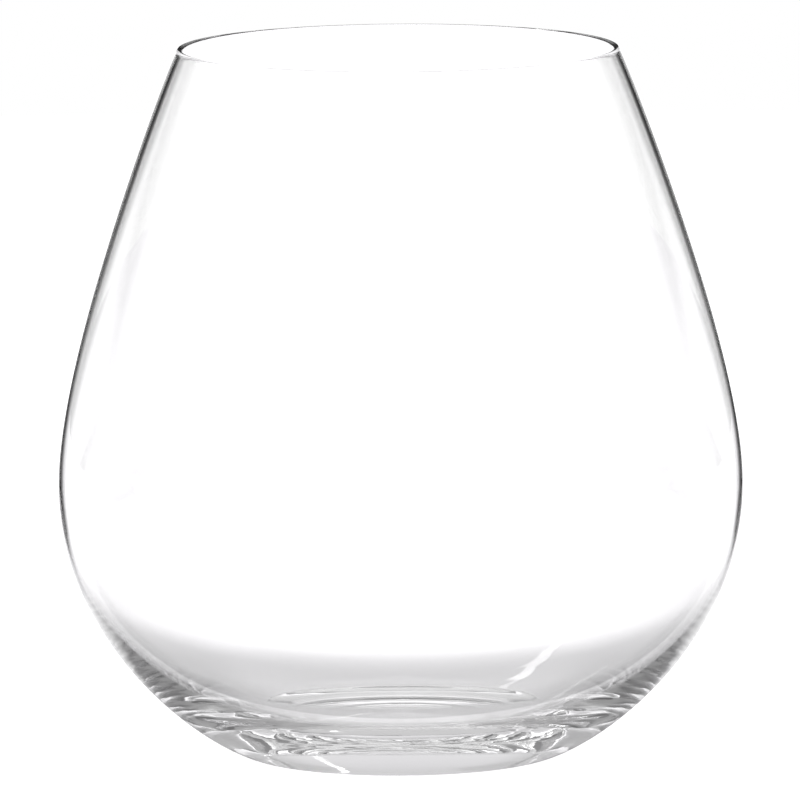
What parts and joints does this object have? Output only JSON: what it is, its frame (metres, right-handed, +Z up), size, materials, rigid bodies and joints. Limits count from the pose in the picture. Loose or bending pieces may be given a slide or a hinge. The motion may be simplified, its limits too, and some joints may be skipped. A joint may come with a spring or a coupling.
{
  "type": "stemless wine glass",
  "caption": "Stemless wine glass: a wide thin-walled bowl that draws in to the mouth, clear glass, on a thicker base with a narrow foot ring.",
  "frame": {"origin": "on the table, at the middle of the foot ring", "axes": "+Z up along the glass's axis of revolution; the glass is the same all round, so +X and +Y are free"},
  "size_m": [0.108, 0.108, 0.1122],
  "materials": {
    "clear_glass": "clear crystal glass, machine blown and fire polished"
  },
  "bodies": {
    "root": {"glass_bowl": "clear_glass"}
  },
  "joints": []
}
